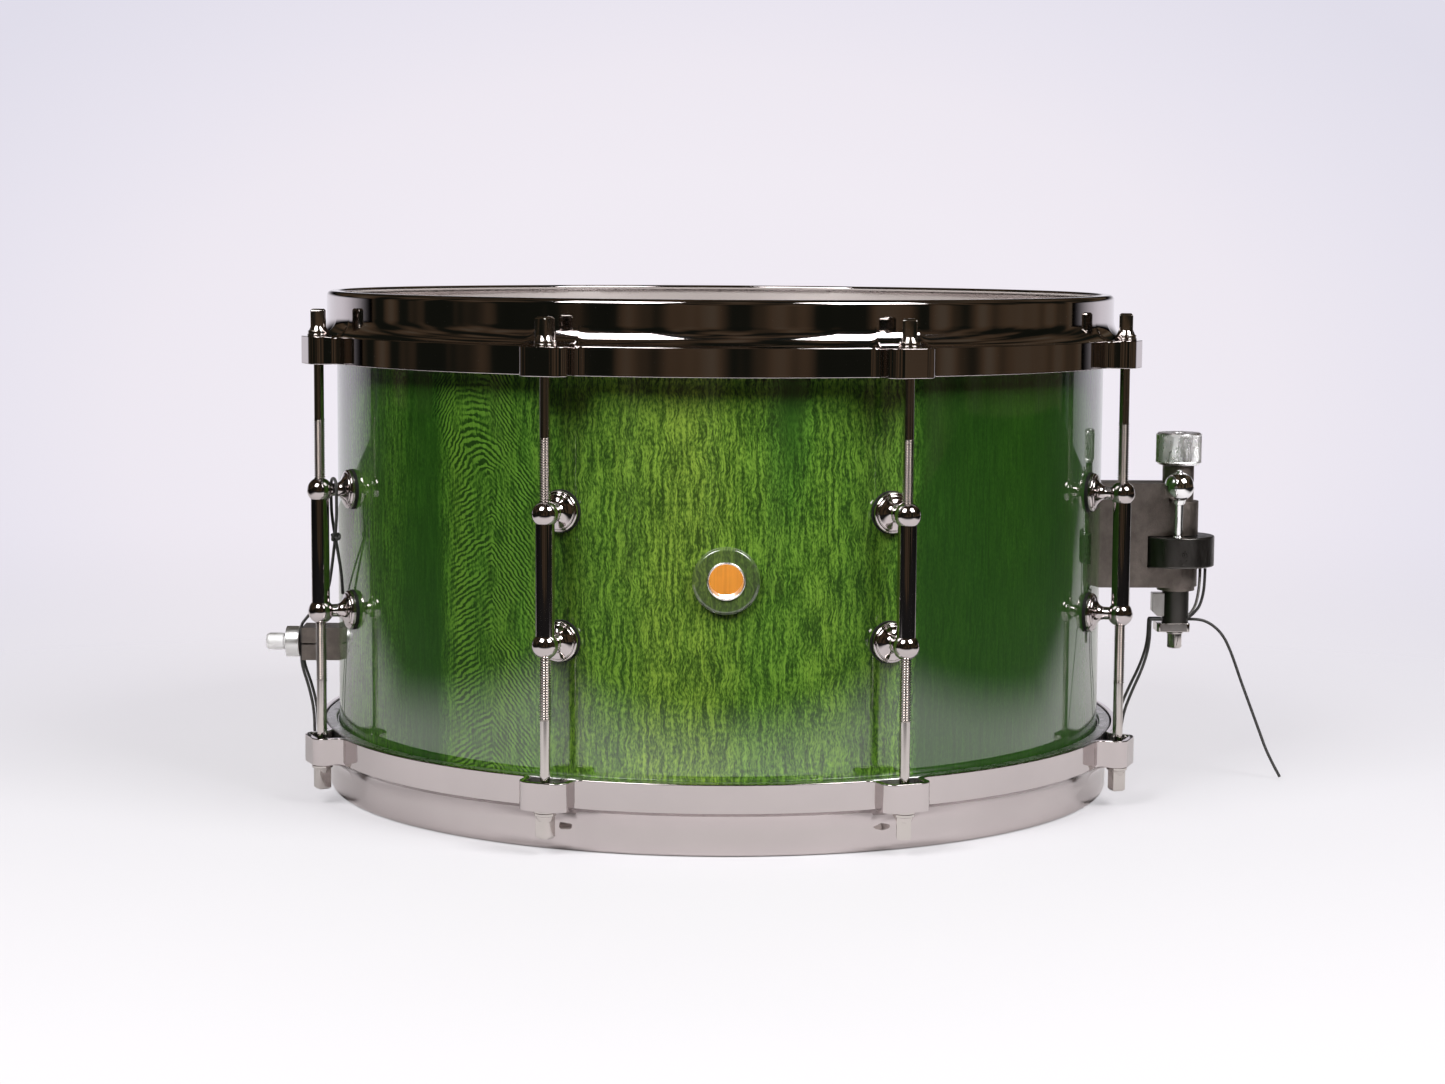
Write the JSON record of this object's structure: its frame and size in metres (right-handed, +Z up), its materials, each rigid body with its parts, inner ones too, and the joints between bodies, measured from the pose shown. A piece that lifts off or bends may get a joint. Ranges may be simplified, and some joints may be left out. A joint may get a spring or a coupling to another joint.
{
  "type": "snare drum",
  "caption": "Wooden-shell snare drum with ball-and-tube lugs, pressed metal hoops, a piston strainer with swinging lever and tension knob, and cord-held snares.",
  "frame": {"origin": "on the drum's axis, in the plane of the lower hoop's rim that the drum stands on", "axes": "+Z up along the drum's axis, -Y towards the vent badge, +X towards the strainer"},
  "size_m": [0.4804, 0.374, 0.2285],
  "materials": {
    "stained_wood": "green stain under gloss lacquer",
    "badge_wood": "dark green stain, satin",
    "polished_eyelet": "polished",
    "drumhead_film": "coated film",
    "head_hoop_metal": "satin",
    "black_nickel": "polished black nickel",
    "rod_metal": "polished black nickel",
    "gasket_rubber": "matte",
    "plain_steel": "zinc plated",
    "blasted_metal": "bead blasted and dyed",
    "dark_collar_metal": "satin dark anodised",
    "chrome": "polished chrome",
    "knurled_aluminium": "knurled",
    "bright_knob": "polished",
    "snare_steel": "bright",
    "cord_fibre": "braided cord"
  },
  "bodies": {
    "root": {"shell": "stained_wood", "vent_badge": "badge_wood", "vent_grommet": "polished_eyelet", "batter_head": "drumhead_film", "snare_head": "drumhead_film", "batter_flesh_hoop": "head_hoop_metal", "snare_flesh_hoop": "head_hoop_metal", "batter_hoop": "black_nickel", "snare_hoop": "black_nickel", "batter_rod_washers": "rod_metal", "snare_rod_washers": "rod_metal", "lug_gaskets": "gasket_rubber", "lug_screws": "plain_steel", "lug_screw_washers": "plain_steel", "mount_screws": "plain_steel", "strainer_body": "blasted_metal", "butt_block": "blasted_metal", "butt_clamp_disc": "chrome", "snare_wires": "snare_steel", "snare_end_plates": "snare_steel", "strainer_cord": "cord_fibre", "butt_cord": "cord_fibre", "strainer_cord_tail": "cord_fibre", "butt_cord_tail": "cord_fibre", "lug_1": "black_nickel", "lug_2": "black_nickel", "lug_3": "black_nickel", "lug_4": "black_nickel", "lug_5": "black_nickel", "lug_6": "black_nickel", "lug_7": "black_nickel", "lug_8": "black_nickel"},
    "lever": {"release_collar": "dark_collar_metal", "release_lever": "chrome", "lever_ball": "chrome"},
    "carriage": {"cam_follower": "plain_steel"},
    "plunger": {"piston": "dark_collar_metal", "cord_jaw": "blasted_metal", "clamp_plate": "chrome", "clamp_screw": "chrome", "strainer_cord_tucked_ends": "cord_fibre"},
    "knob": {"tension_knob": "knurled_aluminium", "adjusting_screw": "plain_steel"},
    "butt_screw": {"butt_thumb_screw": "bright_knob"},
    "batter_rod_1": {"batter_rod_1": "rod_metal"},
    "batter_rod_2": {"batter_rod_2": "rod_metal"},
    "batter_rod_3": {"batter_rod_3": "rod_metal"},
    "batter_rod_4": {"batter_rod_4": "rod_metal"},
    "batter_rod_5": {"batter_rod_5": "rod_metal"},
    "batter_rod_6": {"batter_rod_6": "rod_metal"},
    "batter_rod_7": {"batter_rod_7": "rod_metal"},
    "batter_rod_8": {"batter_rod_8": "rod_metal"},
    "snare_rod_1": {"snare_rod_1": "rod_metal"},
    "snare_rod_2": {"snare_rod_2": "rod_metal"},
    "snare_rod_3": {"snare_rod_3": "rod_metal"},
    "snare_rod_4": {"snare_rod_4": "rod_metal"},
    "snare_rod_5": {"snare_rod_5": "rod_metal"},
    "snare_rod_6": {"snare_rod_6": "rod_metal"},
    "snare_rod_7": {"snare_rod_7": "rod_metal"},
    "snare_rod_8": {"snare_rod_8": "rod_metal"}
  },
  "joints": [
    {"name": "butt_screw_turn", "type": "hinge", "parent": "root", "child": "butt_screw", "pos_m": [-0.2, 0, 0.063], "axis": [1, 0, 0], "continuous": true},
    {"name": "knob_turn", "type": "hinge", "parent": "root", "child": "knob", "pos_m": [0.2162, 0, 0.15], "axis": [0, 0, -1], "range_deg": [-1080, 360]},
    {"name": "lever_swing", "type": "hinge", "parent": "root", "child": "lever", "pos_m": [0.2162, 0, 0.108], "axis": [0, 0, 1], "range_deg": [0, 170]},
    {"name": "piston_release", "type": "slide", "parent": "root", "child": "carriage", "axis": [0, 0, 1], "range_m": [-0.008, 0]},
    {"name": "piston_tension", "type": "slide", "parent": "carriage", "child": "plunger", "axis": [0, 0, 1], "range_m": [-0.003, 0.001]},
    {"name": "tension_rod_batter_1", "type": "hinge", "parent": "root", "child": "batter_rod_1", "pos_m": [0.07382, -0.17822, 0.2], "axis": [0, 0, 1], "continuous": true},
    {"name": "tension_rod_snare_1", "type": "hinge", "parent": "root", "child": "snare_rod_1", "pos_m": [0.07382, -0.17822, 0.03], "axis": [0, 0, 1], "continuous": true},
    {"name": "tension_rod_batter_2", "type": "hinge", "parent": "root", "child": "batter_rod_2", "pos_m": [0.17822, -0.07382, 0.2], "axis": [0, 0, 1], "continuous": true},
    {"name": "tension_rod_snare_2", "type": "hinge", "parent": "root", "child": "snare_rod_2", "pos_m": [0.17822, -0.07382, 0.03], "axis": [0, 0, 1], "continuous": true},
    {"name": "tension_rod_batter_3", "type": "hinge", "parent": "root", "child": "batter_rod_3", "pos_m": [0.17822, 0.07382, 0.2], "axis": [0, 0, 1], "continuous": true},
    {"name": "tension_rod_snare_3", "type": "hinge", "parent": "root", "child": "snare_rod_3", "pos_m": [0.17822, 0.07382, 0.03], "axis": [0, 0, 1], "continuous": true},
    {"name": "tension_rod_batter_4", "type": "hinge", "parent": "root", "child": "batter_rod_4", "pos_m": [0.07382, 0.17822, 0.2], "axis": [0, 0, 1], "continuous": true},
    {"name": "tension_rod_snare_4", "type": "hinge", "parent": "root", "child": "snare_rod_4", "pos_m": [0.07382, 0.17822, 0.03], "axis": [0, 0, 1], "continuous": true},
    {"name": "tension_rod_batter_5", "type": "hinge", "parent": "root", "child": "batter_rod_5", "pos_m": [-0.07382, 0.17822, 0.2], "axis": [0, 0, 1], "continuous": true},
    {"name": "tension_rod_snare_5", "type": "hinge", "parent": "root", "child": "snare_rod_5", "pos_m": [-0.07382, 0.17822, 0.03], "axis": [0, 0, 1], "continuous": true},
    {"name": "tension_rod_batter_6", "type": "hinge", "parent": "root", "child": "batter_rod_6", "pos_m": [-0.17822, 0.07382, 0.2], "axis": [0, 0, 1], "continuous": true},
    {"name": "tension_rod_snare_6", "type": "hinge", "parent": "root", "child": "snare_rod_6", "pos_m": [-0.17822, 0.07382, 0.03], "axis": [0, 0, 1], "continuous": true},
    {"name": "tension_rod_batter_7", "type": "hinge", "parent": "root", "child": "batter_rod_7", "pos_m": [-0.17822, -0.07382, 0.2], "axis": [0, 0, 1], "continuous": true},
    {"name": "tension_rod_snare_7", "type": "hinge", "parent": "root", "child": "snare_rod_7", "pos_m": [-0.17822, -0.07382, 0.03], "axis": [0, 0, 1], "continuous": true},
    {"name": "tension_rod_batter_8", "type": "hinge", "parent": "root", "child": "batter_rod_8", "pos_m": [-0.07382, -0.17822, 0.2], "axis": [0, 0, 1], "continuous": true},
    {"name": "tension_rod_snare_8", "type": "hinge", "parent": "root", "child": "snare_rod_8", "pos_m": [-0.07382, -0.17822, 0.03], "axis": [0, 0, 1], "continuous": true}
  ],
  "couplings": [
    {"joint": "piston_release", "follows": "lever_swing", "m_per_rad": -0.002696},
    {"joint": "piston_tension", "follows": "knob_turn", "m_per_rad": 0.000159}
  ]
}
